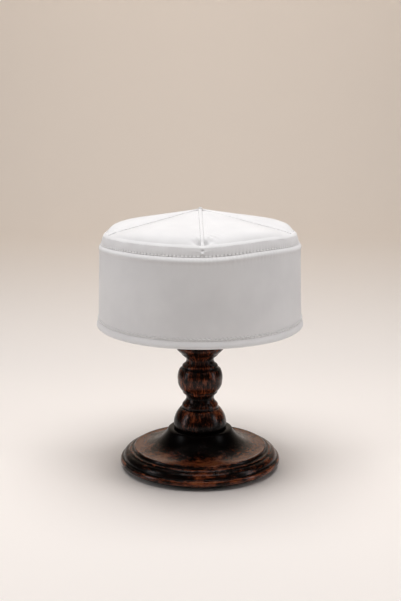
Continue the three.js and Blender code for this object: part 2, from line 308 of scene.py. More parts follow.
# Turned column: a spindle of the same wood with a bell, two rings round a ball, two
# necks and a flared collar, glued into the foot. Its grain runs upright.
ball_radius = 20 * mm
column_low, column_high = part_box("stand_column")
column_turning = [
    {"stretch": "foot", "radius": 1.16, "height": 0, "bulge": 0, "rubbed": -0.5},
    {"stretch": "bell wall", "radius": 1.185, "height": 0.071, "bulge": 0.04, "rubbed": -0.2},
    {"stretch": "bell shoulder", "radius": 0.9, "height": 0.233, "bulge": 0.08, "rubbed": 0.12},
    {"stretch": "bell rim", "radius": 0.81, "height": 0.246, "bulge": -0.1, "rubbed": 0.0},
    {"stretch": "lower ring", "radius": 0.765, "height": 0.297, "bulge": 0.12, "rubbed": 0.02},
    {"stretch": "lower neck in", "radius": 0.62, "height": 0.361, "bulge": -0.1, "rubbed": -0.02},
    {"stretch": "lower neck out", "radius": 0.76, "height": 0.416, "bulge": -0.12, "rubbed": -0.08},
    {"stretch": "cup", "radius": 0.79, "height": 0.445, "bulge": 0.1, "rubbed": -0.04},
    {"stretch": "lower ball", "radius": 1, "height": 0.568, "bulge": 0.11, "rubbed": 0.04},
    {"stretch": "upper ball", "radius": 0.915, "height": 0.707, "bulge": 0.08, "rubbed": -0.02},
    {"stretch": "ball rim", "radius": 0.8, "height": 0.728, "bulge": 0, "rubbed": -0.12},
    {"stretch": "upper ring", "radius": 0.775, "height": 0.759, "bulge": 0.1, "rubbed": -0.06},
    {"stretch": "upper neck in", "radius": 0.61, "height": 0.822, "bulge": -0.17, "rubbed": -0.08},
    {"stretch": "upper neck out", "radius": 0.73, "height": 0.859, "bulge": -0.1, "rubbed": -0.1},
    {"stretch": "collar ring", "radius": 0.865, "height": 0.9, "bulge": 0.06, "rubbed": -0.15},
    {"stretch": "collar flare", "radius": 1.06, "height": 0.95, "bulge": 0.04, "rubbed": -0.15},
    {"stretch": "collar edge", "radius": 1.02, "height": 1, "bulge": 0.2, "rubbed": -0.1},
]
glue_line = 0.25 * mm
column_foot = column_low.z - glue_line
column_facets = 144
column_finish = lacquered_wood("lacquered wood of the column", streak_round=7, streak_along=90, rubbing=0)
column_outline = turned_outline(column_turning, ball_radius, column_foot, column_high.z - column_foot)
column_outline = sanded(column_outline, sanding_step, sanding_passes)
column = turned_piece("turned_column", column_outline, column_facets, column_finish)
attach(column, "root")
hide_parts("stand_column")


# Post and head: the plain part of the stand inside the cap, a post with a round
# head that the crown rests on, of the same wood, hardly rubbed. The head slopes as
# the crown does, which falls by its rise from the peak to its edge.
post_radius = 11 * mm
head_radius = 46 * mm
head_wall = 7 * mm
crown_rise = 21.5 * mm
crown_radius = 81.8 * mm
post_low, post_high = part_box("stand_post")


def head_height(radius):
    return post_high.z - crown_rise / crown_radius * radius


head_under = head_height(head_radius) - head_wall
post_outline = np.array([
    (post_radius, post_low.z, 0),
    (post_radius, head_under - head_wall, 0),
    (post_radius + head_wall, head_under, 0),
    (head_radius - head_wall / 2, head_under, 0),
    (head_radius, head_under + head_wall / 2, 0),
    (head_radius, head_height(head_radius) - head_wall / 4, 0),
    (head_radius - head_wall / 2, head_height(head_radius - head_wall / 2), 0),
    (post_radius, head_height(post_radius), 0),
])
post_sanding_step = 1.2 * mm
post_sanding_passes = 3
post_facets = 96
post_finish = lacquered_wood("lacquered wood of the post", streak_round=7, streak_along=90, rubbing=-0.08)
post_outline = sanded(post_outline, post_sanding_step, post_sanding_passes)
post = turned_piece("post_and_head", post_outline, post_facets, post_finish)
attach(post, "root")
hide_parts("stand_post")


# Side band: a tall strip of stiffened white cotton, sewn into a ring and doubled
# over at its rounded top edge, where the topstitching draws it into small scallops.
gap = 0.3 * mm
hem_wall = 1 * mm
band_wall = 1.4 * mm
rim_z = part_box("hem_band")[0].z
rim_half = (91 * mm, 100 * mm)
edge_z = rim_z + 71.9 * mm
edge_half = (87.8 * mm, 91.5 * mm)
ridge_z = edge_z + 8.5 * mm
ridge_half = (84 * mm, 87.3 * mm)
top_lift = 4 * mm
hem_height = 7.6 * mm
wave_azimuths = np.radians([0, 40, 90, 140, 180, 230, 270, 315, 360])
wave_shares = np.array([0.28, 0.95, 0.3, 0.3, 0.2, 0.2, 0.04, 0.4, 0.28])
zigzags = 156
topstitches = 169


# The radius of the band's outer face at a height
def band_radius(z):
    foot = rim_half[0] - hem_wall - gap
    return foot + (edge_half[0] - foot) * (z - rim_z) / (edge_z - rim_z)


# How much deeper than wide the cap's plan is at a height
def plan_stretch(z):
    deeper = [half[1] / half[0] for half in (rim_half, edge_half, ridge_half)]
    return np.interp(z, [rim_z, edge_z, ridge_z], deeper)


# How far the top edge is pulled up at an azimuth, in waves
def edge_lift(azimuth):
    turn = np.mod(azimuth, 2 * math.pi)
    row = np.clip(np.searchsorted(wave_azimuths, turn, side="right") - 1, 0, len(wave_shares) - 2)
    along = (turn - wave_azimuths[row]) / (wave_azimuths[row + 1] - wave_azimuths[row])
    eased = along * along * (3 - 2 * along)
    return top_lift * (wave_shares[row] + (wave_shares[row + 1] - wave_shares[row]) * eased)


# A slow irregular wave round the cap, from -1 to 1, of a few lengths at once
def wander(azimuth, seed, slowest, fastest):
    draw = np.random.default_rng(seed)
    total = 0 * azimuth
    for turns in range(slowest, fastest + 1):
        total = total + np.sin(turns * azimuth + draw.uniform(0, 2 * math.pi)) * draw.uniform(0.5, 1)
    return total / (0.5 * (fastest - slowest + 1)) ** 0.5 / 1.6


# A smooth swelling: 1 in its middle and all but gone at twice its width
def swelling(distance, width):
    return np.exp(-((distance / width) ** 2))


# A dimple, so wide round the cap and so wide up it, at each place in a row where the
# needle went through
def needle_dimples(azimuth, z, holes, phase, height, widths):
    turn = azimuth * holes / (2 * math.pi) - phase
    aside = (turn - np.round(turn)) * 2 * math.pi / holes * edge_half[0]
    return swelling(aside, widths[0]) * swelling(z - height, widths[1])


# A point at an azimuth, a radius and a height on the cap's oval plan, raised to
# another height and pulled up with the waves, from nothing at the hem to all of it
# at the top edge
def on_plan(azimuth, radius, z, raised):
    pulled = np.clip((z - rim_z - hem_height) / (edge_z - rim_z - hem_height), 0, 1)
    return np.stack([
        radius * np.sin(azimuth),
        -radius * np.cos(azimuth) * plan_stretch(z),
        raised + pulled * edge_lift(azimuth),
    ], -1)


# The map that the threads of the cloth run along, in metres
def lay_weave(piece, places):
    layer = piece.data.uv_layers.new(name="weave")
    layer.uv.foreach_set("vector", places.astype(np.float32).ravel())


# A ring of cloth: a closed section of radii and heights is swept round the cap's
# oval plan and moved by a function of radius, height and azimuth, which also gives how
# much painted shade darkens each needle hole
def ring_of_cloth(name, section, columns, moved, finish):
    azimuth = np.arange(columns)[None, :] * 2 * math.pi / columns
    radius = section[:, :1] + 0 * azimuth
    z = section[:, 1:] + 0 * azimuth
    shifted, raised, holes = moved(radius, z, azimuth + 0 * z)
    corners = on_plan(azimuth, shifted, z, raised).reshape(-1, 3)
    faces = grid_faces(len(section), columns, closed_rows=True, closed_columns=True)
    piece = mesh_piece(name, corners, faces, finish)
    # Keeps the share of painted shade in the needle holes for the finish to read
    keep_number(piece, "holes", holes)
    along = way_along(np.concatenate([section, section[:1]]))
    row, column = np.divmod(np.arange(len(faces)), columns)
    u = np.stack([column, column + 1, column + 1, column], 1) * 2 * math.pi * edge_half[0] / columns
    v = np.stack([along[row], along[row], along[row + 1], along[row + 1]], 1)
    lay_weave(piece, np.stack([u, v], 2))
    return piece


# Plain white cotton: a close plain weave, a little slubbed, matt with a faint nap, and darkened
# with painted shade in the needle holes
cotton_white = (0.86, 0.857, 0.862)
cotton_shade = (0.80, 0.797, 0.805)
# The colour of the painted shade in the needle holes
needle_hole_painted_shade = (0.22, 0.21, 0.21)
thread_pitch = 0.42 * mm


# thread_turn is the angle of the threads to the piece's own map
def woven_cotton(name, thread_turn):
    finish, tree = new_finish(name)
    weave = add_node(tree, "ShaderNodeUVMap", {}, uv_map="weave").outputs["UV"]
    place = add_node(tree, "ShaderNodeTexCoord", {}).outputs["Object"]
    threads = math.pi / thread_pitch
    turned = add_node(tree, "ShaderNodeMapping", {
        "Vector": weave, "Rotation": (0, 0, thread_turn), "Scale": (threads, threads, 1),
    })
    apart = add_node(tree, "ShaderNodeSeparateXYZ", {0: turned.outputs["Vector"]})
    across = reckoned(tree, "SINE", apart.outputs["X"])
    along = reckoned(tree, "SINE", apart.outputs["Y"])
    over = reckoned(tree, "MULTIPLY", across, along)
    slubs = noise(tree, place, scale=900, detail=2, roughness=0.5)
    clouds = noise(tree, place, scale=26, detail=3, roughness=0.55)
    clouds = ramped(tree, clouds, low=0.3, high=0.75, bend="SMOOTHSTEP")
    shade = reckoned(tree, "ADD", reckoned(tree, "MULTIPLY", over, 0.12), clouds, clamped=True)
    colour = stained(tree, shade, [(0.0, cotton_white), (1.0, cotton_shade)])
    # How much painted shade darkens each needle hole, kept on the piece's corners
    holes = add_node(tree, "ShaderNodeAttribute", {}, attribute_name="holes").outputs["Fac"]
    # Socket 0 of a mix is its share, 6 and 7 are its two colours, and output 2 is the mixed one
    cotton_with_painted_hole_shade = add_node(tree, "ShaderNodeMix", {0: holes, 6: colour, 7: (*needle_hole_painted_shade, 1)}, data_type="RGBA")
    shaded(tree, {
        "Base Color": cotton_with_painted_hole_shade.outputs[2],
        "Roughness": 0.85,
        "Normal": relieved(tree, reckoned(tree, "ADD", over, slubs), strength=0.3, depth=0.05 * mm),
        "Sheen Weight": 0.15,
        "Sheen Roughness": 0.5,
        "Specular IOR Level": 0.3,
    })
    return finish


straight_cotton = woven_cotton("white cotton on the straight", 0)

fold_height = 3.4 * mm
fold_depth = 1.7 * mm
fold_proud = 0.5 * mm
fold_z = edge_z - fold_height
band_foot = rim_z + hem_wall + gap
hem_top = rim_z + hem_height
zigzag_half = 0.85 * mm
zigzag_draw = 0.34 * mm
zigzag_hole = (0.55 * mm, 0.5 * mm)
# How much painted shade darkens the needle holes of the zigzag row
hole_shade = 0.3
band_slack = 0.22 * mm
band_dents = 0.12 * mm
band_ripples = 0.05 * mm
band_puckers = 0.16 * mm
band_scallops = 0.14 * mm


# The fold stands a little proud of the outer face and rolls in over it, and the inner
# layer goes straight down behind it
def band_section():
    heights = np.concatenate([
        np.linspace(band_foot, hem_top - 1.5 * mm, 3),
        np.linspace(hem_top - 1 * mm, hem_top + 2.4 * mm, 12),
        np.linspace(hem_top + 4 * mm, edge_z - 11 * mm, 14),
        np.linspace(edge_z - 10 * mm, fold_z - 0.3 * mm, 20),
    ])
    outer = [(band_radius(z) + fold_proud * swelling(fold_z - z, 1.6 * mm), z) for z in heights]
    proudest = band_radius(fold_z) + fold_proud
    fold = []
    for s in np.linspace(0, 1, 17):
        fold.append((proudest - (fold_depth + fold_proud) * s ** 1.9, fold_z + fold_height * s))
    inner = [(band_radius(z) - band_wall, z) for z in np.linspace(edge_z - 0.5 * mm, band_foot, 14)]
    return np.array([*outer, *fold, *inner])


# How strongly the cloth is drawn in at each stitch of a row, and let out between them:
# the tightest stitches pull twice as hard as the loosest
def stitch_pull(azimuth, stitches, seed, slowest, fastest):
    return np.cos(azimuth * stitches) * (0.75 + 0.25 * wander(azimuth, seed, slowest, fastest))


# How far the zigzag row draws the cloth in at its turns, above and below the hem's top
# edge, and lets it out between them
def drawn_by_zigzag(azimuth, z):
    up = (z - hem_top) / zigzag_half
    return zigzag_draw * np.cos(azimuth * zigzags) * np.sin(math.pi / 2 * up) * swelling(up, 1.7)


# How far a point of the band is moved by slack and dents, by the topstitching along its
# fold and by the zigzag row over the hem, and how much painted shade darkens its needle holes
def band_moved(radius, z, azimuth):
    outside = radius > band_radius(z) - band_wall / 2
    below = np.maximum(edge_z - z, 0)
    share = np.clip((z - rim_z) / (edge_z - rim_z), 0, 1)
    pull = stitch_pull(azimuth, topstitches, 11, 3, 9)
    slack = band_slack * wander(azimuth, 12, 2, 5) * np.sin(math.pi * share)
    dents = band_dents * wander(azimuth, 13, 5, 11) * swelling(below - 14 * mm, 9 * mm)
    ripples = band_ripples * wander(azimuth, 14, 90, 170) * swelling(below - 5 * mm, 3 * mm)
    puckers = -band_puckers * pull * np.exp(-below / (3 * mm))
    holes = needle_dimples(azimuth, z, zigzags, 0, hem_top + zigzag_half, zigzag_hole) * outside
    stitched = (puckers - drawn_by_zigzag(azimuth, z)) * outside - 0.15 * mm * holes
    scallops = band_scallops * pull * np.exp(-below / (1.2 * mm))
    return radius + slack + dents + ripples + stitched, z - scallops, hole_shade * holes


band = ring_of_cloth("band_of_cotton", band_section(), 7 * zigzags, band_moved, straight_cotton)
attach(band, "root")
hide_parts("side_band")


# Hem: a strip of the same cotton folded round the foot of the side band and held
# there by a zigzag row, which presses its top edge thin.
pressed_height = 6 * mm
pressed_wall = 0.1 * mm
hem_fullness = 0.12 * mm
hem_slack = 0.2 * mm
hem_scallops = 0.1 * mm


# Points round an edge: an arc about a middle from one angle to another
def rounded(r, z, radius, start, end, count):
    return [(r + radius * math.cos(a), z + radius * math.sin(a)) for a in np.linspace(start, end, count)]


# The strip goes up outside the band and thins towards its top edge, comes down close
# to the band, passes under it, and goes up and down again inside
def hem_section():
    def outside(z):
        pressed = np.clip((z - hem_top + pressed_height) / pressed_height, 0, 1)
        thinned = (1 + math.cos(math.pi * pressed)) / 2
        return band_radius(z) + pressed_wall + (gap + hem_wall - pressed_wall) * thinned

    def inside(z):
        return band_radius(z) - band_wall - gap - hem_wall

    roll = hem_wall / 2
    fold = 1.4 * mm
    close = 0.08 * mm
    points = rounded(outside(rim_z) - fold, rim_z + fold, fold, -math.pi / 2, 0, 7)
    points += [(outside(z), z) for z in np.linspace(rim_z + fold, hem_top, 21)[1:]]
    points += [(band_radius(z) + close, z) for z in np.linspace(hem_top - 0.3 * mm, rim_z + hem_wall, 7)]
    points += [(inside(z) + hem_wall, z) for z in np.linspace(rim_z + hem_wall, hem_top - roll, 5)[:-1]]
    points += rounded(inside(hem_top) + roll, hem_top - roll, roll, 0, math.pi, 7)
    points += [(inside(z), z) for z in np.linspace(hem_top - roll, rim_z + fold, 5)[1:-1]]
    points += rounded(inside(rim_z) + fold, rim_z + fold, fold, -math.pi, -math.pi / 2, 6)
    return np.array(points)


# How far a point of the hem is moved by its fullness and slack and by the zigzag row, and how much painted
# shade darkens its needle holes
def hem_moved(radius, z, azimuth):
    outside = radius > band_radius(z)
    up = np.clip((z - rim_z) / hem_height, 0, 1)
    above_band = np.maximum(radius - band_radius(z) - pressed_wall, 0)
    full = hem_fullness * np.sin(math.pi * np.clip(up * 1.15, 0, 1)) * outside
    slack = hem_slack * wander(azimuth, 21, 4, 14) * (1 - up) * (above_band > 0)
    pull = stitch_pull(azimuth, zigzags, 22, 4, 12)
    scallops = hem_scallops * pull * np.exp(-(hem_top - z) / (1.1 * mm)) * outside
    holes = needle_dimples(azimuth, z, zigzags, 0.5, hem_top - zigzag_half, zigzag_hole) * outside
    stitched = drawn_by_zigzag(azimuth, z) * outside + 0.5 * above_band * holes
    return radius + full + slack - stitched, z - scallops, hole_shade * holes


hem = ring_of_cloth("hem_of_cotton", hem_section(), 8 * zigzags, hem_moved, straight_cotton)
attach(hem, "root")
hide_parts("hem_band")


# Zigzag row: one white sewing thread, which goes to and fro over the hem's top edge
# and through the cloth at each turn.
thread_radius = 0.28 * mm


# Runs of thread, each along its own row of points, as one mesh: rings of corners at
# right angles to the run, drawn in at its ends where it dives into the cloth
def runs_of_thread(name, runs, finish):
    sides = 8
    dive = 0.6
    slope = np.gradient(runs, axis=1)
    slope /= np.linalg.norm(slope, axis=2, keepdims=True)
    upwards = np.array([0, 0, 1.0])
    first = np.cross(slope, upwards)
    first /= np.linalg.norm(first, axis=2, keepdims=True)
    second = np.cross(slope, first)
    turn = np.arange(sides) * 2 * math.pi / sides
    spokes = first[:, :, None] * np.cos(turn)[:, None] + second[:, :, None] * np.sin(turn)[:, None]
    thick = thread_radius * np.concatenate([[dive], np.ones(runs.shape[1] - 2), [dive]])
    corners = runs[:, :, None] + spokes * thick[None, :, None, None]
    count, rings = runs.shape[:2]
    tube = grid_faces(rings, sides, closed_rows=True)
    starts = np.arange(count) * rings * sides
    faces = (tube[None] + starts[:, None, None]).reshape(-1, 4).tolist()
    for start in starts.tolist():
        end = start + (rings - 1) * sides
        faces.append(list(range(start + sides - 1, start - 1, -1)))
        faces.append(list(range(end, end + sides)))
    return mesh_piece(name, corners.reshape(-1, 3), faces, finish)


# Sewing thread: white cotton, two plies laid up, a little smoother than the cloth
def sewing_thread(name, white, shade):
    finish, tree = new_finish(name)
    place = add_node(tree, "ShaderNodeTexCoord", {}).outputs["Object"]
    plies = noise(tree, place, scale=2600, detail=2, roughness=0.5)
    shaded(tree, {
        "Base Color": stained(tree, plies, [(0.3, shade), (0.6, white)]),
        "Roughness": 0.6,
        "Normal": relieved(tree, plies, strength=0.4, depth=0.05 * mm),
        "Sheen Weight": 0.2,
    })
    return finish


white_thread = sewing_thread("white sewing thread", (0.93, 0.925, 0.92), (0.8, 0.795, 0.79))


# One run goes down over the hem's edge and the next one up; each arches over the
# cloth between its ends, by so many thread radii at each share of its way
def zigzag_runs():
    turn = 2 * math.pi / zigzags
    share = np.array([0, 0.06, 0.16, 0.35, 0.5, 0.65, 0.84, 0.94, 1])
    arch = np.array([-0.7, -0.15, 0.5, 1, 1.15, 1, 0.5, -0.15, -0.7])
    runs = []
    for k in range(2 * zigzags):
        azimuth = (k / 2 + share / 2) * turn
        downwards = 1 - 2 * (k % 2)
        z = hem_top + downwards * zigzag_half * (1 - 2 * share)
        over_hem = np.clip((hem_top + 0.3 * mm - z) / (1.15 * mm), 0, 1)
        surface = band_radius(z) + pressed_wall + over_hem * 0.25 * mm
        radius = surface + arch * thread_radius - 0.6 * drawn_by_zigzag(azimuth, z)
        runs.append(on_plan(azimuth, radius, z, z))
    return np.array(runs)


zigzag = runs_of_thread("zigzag_row", zigzag_runs(), white_thread)
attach(zigzag, "root")


# Shoulder strip: a narrow strip of the cotton that slopes from inside the band's top
# edge to the ridge, a little puckered by the topstitching along its foot.
shoulder_wall = 1.5 * mm
shoulder_tuck = 7 * mm
lip_height = 2 * mm
lip_foot = ridge_z - lip_height / 2
stitch_z = edge_z + 0.55 * mm
shoulder_bend = edge_z - band_wall / 2
shoulder_top = ridge_half[0] + 0.3 * mm
shoulder_swell = 0.3 * mm
shoulder_flare = 0.2 * mm
shoulder_puckers = 0.14 * mm
shoulder_ease = 0.16 * mm
bunch_proud = 0.75 * mm
bunch_sunk = 0.9 * mm
bunch_folds = 0.22 * mm
topstitch_hole = (0.55 * mm, 0.6 * mm)
# How much painted shade darkens the needle holes of the topstitching
topstitch_shade = 0.7

# The crown's four seams, round from the front in degrees: how far each holds the puff
# down, how wide before and past it, and how deep its pits are as a share of the front's
seams = {
    "front": {"azimuth": 1.3, "held": 0.2, "near": 6, "past": 6, "pits": 1},
    "right": {"azimuth": 78, "held": 0.85, "near": 26, "past": 9, "pits": 0.25},
    "back": {"azimuth": 180, "held": 0.2, "near": 6, "past": 6, "pits": 0.6},
    "left": {"azimuth": 282, "held": 0.85, "near": 9, "past": 26, "pits": 0.25},
}


# The radius of the strip's outer face at a height: it swells a little between the
# stitches and the lip, and flares out where it meets the band's fold
def shoulder_face(z):
    share = (z - shoulder_bend) / (lip_foot - gap - shoulder_bend)
    tucked = band_radius(shoulder_bend) - band_wall - gap
    flare = shoulder_flare * swelling(z - edge_z - 0.2 * mm, 0.9 * mm)
    return tucked + (shoulder_top - tucked) * share + shoulder_swell * np.sin(math.pi * share) + flare


# The strip's foot is tucked down behind the band; from its bend it follows its face
def shoulder_section():
    foot = edge_z - shoulder_tuck
    top = lip_foot - gap
    outer = [(band_radius(z) - band_wall - gap, z) for z in np.linspace(foot, shoulder_bend, 5)[:-1]]
    outer += [(shoulder_face(z), z) for z in np.linspace(shoulder_bend, stitch_z + 1.6 * mm, 13)]
    outer += [(shoulder_face(z), z) for z in np.linspace(stitch_z + 2 * mm, lip_foot, 14)]
    inner = [(shoulder_face(z) - shoulder_wall, z) for z in np.linspace(top, shoulder_bend, 8)]
    for z in np.linspace(shoulder_bend, foot, 4)[1:]:
        inner.append((band_radius(z) - band_wall - gap - shoulder_wall, z))
    return np.array([*outer, *inner])


# The cloth is bunched under the front seam's end: a small knot with a hollow over it
# and folds that run off to both sides
def bunched(z, azimuth):
    aside = (azimuth - math.radians(seams["front"]["azimuth"])) * edge_half[0]
    aside = np.where(aside > math.pi * edge_half[0], aside - 2 * math.pi * edge_half[0], aside)
    up = z - stitch_z
    proud = bunch_proud * swelling(aside, 1.3 * mm) * swelling(up - 2.2 * mm, 0.8 * mm)
    sunk = bunch_sunk * swelling(aside, 1.2 * mm) * swelling(up - 4.2 * mm, 0.8 * mm)
    bent = up - 3.4 * mm - 0.16 * np.abs(aside)
    folds = bunch_folds * swelling(aside, 7 * mm) * swelling(bent, 0.7 * mm)
    return proud - sunk + folds


# How far a point of the strip is moved by the topstitching, by the ease of the cloth
# and under the front seam's end; what is tucked behind the band stays where it is. It also
# gives how much painted shade darkens the topstitch needle holes.
def shoulder_moved(radius, z, azimuth):
    above = np.clip((z - edge_z) / (lip_foot - edge_z), 0, 1)
    clear = np.clip((z - edge_z + 1.2 * mm) / (1 * mm), 0, 1)
    pull = stitch_pull(azimuth, topstitches, 31, 3, 9)
    puckers = -shoulder_puckers * pull * np.exp(-np.maximum(z - stitch_z, 0) / (2.6 * mm))
    ease = shoulder_ease * wander(azimuth, 32, 16, 34) * np.sin(math.pi * above)
    holes = needle_dimples(azimuth, z, topstitches, 0, stitch_z, topstitch_hole) * clear
    moved = radius + (puckers + ease + bunched(z, azimuth)) * clear - 0.5 * mm * holes
    return moved, z, topstitch_shade * holes


shoulder_columns = 8 * topstitches
shoulder = ring_of_cloth(
    "shoulder_of_cotton", shoulder_section(), shoulder_columns, shoulder_moved, straight_cotton)
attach(shoulder, "root")
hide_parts("shoulder_strip")


# Topstitching: a straight row of the same thread along the foot of the shoulder
# strip, close above the band's fold.
def topstitch_runs():
    turn = 2 * math.pi / topstitches
    share = np.array([0, 0.05, 0.14, 0.3, 0.5, 0.7, 0.86, 0.95, 1])
    arch = np.array([-1.6, -0.8, -0.1, 0.3, 0.45, 0.3, -0.1, -0.8, -1.6])
    runs = []
    for k in range(topstitches):
        azimuth = (k + 0.04 + 0.92 * share) * turn
        radius = shoulder_face(stitch_z) + arch * thread_radius * 1.3
        z = stitch_z + 0 * share
        runs.append(on_plan(azimuth, radius, z, z))
    return np.array(runs)


topstitching = runs_of_thread("topstitching", topstitch_runs(), white_thread)
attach(topstitching, "root")


# Ridge lip: the thin standing edge where crown and shoulder strip are sewn together
# and turned out; it dips where a seam of the crown crosses it.
lip_lean = 2.4 * mm
lip_wobble = 0.12 * mm
lip_sway = 0.1 * mm
lip_dip = 0.95 * mm


# The angle from a seam to an azimuth, in degrees, below 0 before the seam
def past_seam(azimuth, seam_azimuth):
    return np.mod(np.degrees(azimuth) - seam_azimuth + 180, 360) - 180


# The outer face goes on from the shoulder strip, leans in and rounds over; the inner
# face drops to the crown's edge
def lip_section():
    foot = lip_foot - gap
    rise = lip_height + gap
    outer = [(shoulder_top - lip_lean * s ** 1.5, foot + rise * s) for s in np.linspace(0, 1, 15)]
    crest = (shoulder_top - lip_lean + crown_radius) / 2
    return np.array([*outer, (crest, foot + rise), (crown_radius, foot + 0.8 * rise), (crown_radius, foot)])


# How far a point of the lip is moved: it sways, and dips at the seams; no needle
# goes through it
def lip_moved(radius, z, azimuth):
    up = np.clip((z - lip_foot) / lip_height, 0, 1)
    wobble = lip_wobble * wander(azimuth, 41, 9, 30)
    sway = lip_sway * wander(azimuth, 42, 20, 60)
    dip = 0 * azimuth
    for seam in seams.values():
        aside = np.abs(np.radians(past_seam(azimuth, seam["azimuth"]))) * ridge_half[0]
        dip = dip + lip_dip * seam["pits"] * np.exp(-((aside / (5 * mm)) ** 1.3))
    return radius + sway * up, z + wobble * up - dip * (0.35 + 0.65 * up), 0 * z


lip_columns = 720
lip = ring_of_cloth("lip_of_cotton", lip_section(), lip_columns, lip_moved, straight_cotton)
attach(lip, "root")
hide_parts("ridge_lip")


# Crown panels: four quarters of the same cotton, sewn along four seams that meet at
# the peak. They puff up between the seams and are drawn into a small pit on either
# side of each seam's lower end.
panel_wall = 1.4 * mm
welt_width = 2.9 * mm
puff_height = 6 * mm
puff_steepness = 28
pit_depth = 4 * mm
pit_width = 6.5 * mm
pit_length = 2.6 * mm
pocket_depth = 3.4 * mm
groove_depth = 1.5 * mm
crown_ripples = 0.1 * mm
crown_gathers = 0.16 * mm
crown_slack = 0.35 * mm
crown_crumples = 0.5 * mm
crown_stretch = ridge_half[1] / ridge_half[0]


# The width between a seam and a place that lies outward by a share of the way from
# the peak to the lip, and aside by an angle in degrees
def across_seam(outward, aside):
    return outward * crown_radius * np.sin(np.radians(np.clip(aside, -90, 90)))


# How deep the pits beside a seam's lower end are
def pit_at(seam, outward, aside):
    from_lip = (1 - outward) * crown_radius
    along = swelling(from_lip - 1.4 * pit_length, pit_length)
    return seam["pits"] * pit_depth * along * swelling(across_seam(outward, aside), pit_width)


# How steeply the puff falls to the lip: half as steeply in front as elsewhere
def steepness(azimuth):
    return puff_steepness * (1 - 0.5 * swelling(past_seam(azimuth, 0), 50))


# The height of the crown's outer face
def crown_height(azimuth, outward):
    loose = 1
    pits = 0
    for seam in seams.values():
        aside = past_seam(azimuth, seam["azimuth"])
        crease = np.where(aside < 0, seam["near"], seam["past"])
        loose = loose - seam["held"] * swelling(aside, crease)
        pits = pits + pit_at(seam, outward, aside)
    puff = puff_height * outward * (1 - outward ** steepness(azimuth)) * loose
    return ridge_z + crown_rise * (1 - outward) + outward * edge_lift(azimuth) + puff - pits


# How deep the cloth of the front panels sinks beside the welts of the side seams
def welt_groove(azimuth, outward):
    deep = 0
    for seam in (seams["right"], seams["left"]):
        front = 1 if seam["past"] > seam["near"] else -1
        aside = past_seam(azimuth, seam["azimuth"]) * front
        beyond = across_seam(outward, aside)
        deep = deep + groove_depth * swelling(beyond - 2 * mm, 1.8 * mm) * (aside > 0)
    return deep * np.clip((1 - outward) * 8, 0, 1)


# How deep the cloth is drawn into a pocket on either side of the front seam's end
def seam_pocket(azimuth, outward):
    from_lip = (1 - outward) * crown_radius
    beyond = np.abs(across_seam(1, past_seam(azimuth, seams["front"]["azimuth"])))
    return pocket_depth * swelling(beyond - 2.6 * mm, 2 * mm) * swelling(from_lip - 2.6 * mm, 1.7 * mm)


# The small folds of the cloth: ripples that run beside a seam, gathers against the
# lip, crumples at the lower ends of the side seams and the slack of a panel's middle
def crown_folds(azimuth, outward, turn):
    aside = outward * crown_radius * np.sin(turn)
    beside = swelling(aside - 4.6 * mm, 2.2 * mm) * np.clip((1 - outward) * 5, 0, 1)
    ripples = crown_ripples * beside * np.cos(2 * math.pi * aside / (1.35 * mm))
    gathers = crown_gathers * swelling(outward - 0.95, 0.05) * wander(azimuth, 51, 14, 40)
    slack = crown_slack * np.sin(math.pi * outward) * wander(azimuth, 52, 3, 7)
    crumples = crown_crumples * swelling(aside, 11 * mm) * swelling(outward - 0.9, 0.07)
    crumples = crumples * wander(azimuth, 53, 60, 110) * np.sin(outward * 90)
    sunk = welt_groove(azimuth, outward) + seam_pocket(azimuth, outward)
    return ripples + gathers + crumples + slack * np.minimum(turn / 0.3, 1) - sunk


# A point of the crown, over its oval plan
def crown_point(azimuth, outward, height):
    radius = outward * crown_radius
    return np.stack([radius * np.sin(azimuth), -radius * crown_stretch * np.cos(azimuth), height], -1)


# A closed sheet of cloth from the corners of its outer and its inner face
def sheet_of_cloth(name, outer, inner, finish):
    rows, columns = outer.shape[:2]
    corners = np.concatenate([outer.reshape(-1, 3), inner.reshape(-1, 3)])
    face = grid_faces(rows, columns)
    under = rows * columns
    faces = [*face.tolist(), *(face[:, ::-1] + under).tolist()]
    rim = list(range(columns))
    rim += [r * columns + columns - 1 for r in range(1, rows)]
    rim += [(rows - 1) * columns + k for k in range(columns - 2, -1, -1)]
    rim += [r * columns for r in range(rows - 2, 0, -1)]
    for here, there in zip(rim, rim[1:] + rim[:1]):
        faces.append([here, here + under, there + under, there])
    piece = mesh_piece(name, corners, faces, finish)
    loops = np.zeros(len(piece.data.loops), int)
    piece.data.loops.foreach_get("vertex_index", loops)
    lay_weave(piece, corners[loops, :2])
    return piece


beside_welt = welt_width / 2 + 0.12 * mm
panel_rows = 84
panel_columns = 96
crown_cotton = woven_cotton("white cotton of the crown", math.pi / 4)


# One quarter, trimmed to lie beside the welts of its two seams
def crown_panel(name, start, end):
    innermost = 1.5 * beside_welt / crown_radius
    along = np.linspace(1, 0, panel_rows)[:, None]
    across = np.linspace(0, 1, panel_columns)[None, :]
    outward = innermost + (1 - innermost) * (1 - (1 - along) ** 1.7) + 0 * across
    trimmed = np.arcsin(beside_welt / (outward * crown_radius))
    spread = (1 - np.cos(math.pi * across)) / 2
    azimuth = start + trimmed + (end - start - 2 * trimmed) * spread
    turn = np.minimum(azimuth - start, end - azimuth)
    height = crown_height(azimuth, outward) + crown_folds(azimuth, outward, turn)
    outer = crown_point(azimuth, outward, height)
    inner = crown_point(azimuth, outward, height - panel_wall)
    return sheet_of_cloth(name, outer, inner, crown_cotton)


seam_turns = [math.radians(seam["azimuth"]) for seam in seams.values()]
quarters = ["front_right", "back_right", "back_left", "front_left"]
for quarter, start, end in zip(quarters, seam_turns, [*seam_turns[1:], seam_turns[0] + 2 * math.pi]):
    panel = crown_panel("crown_of_cotton_" + quarter, start, end)
    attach(panel, "root")
    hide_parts("crown_panel_" + quarter)


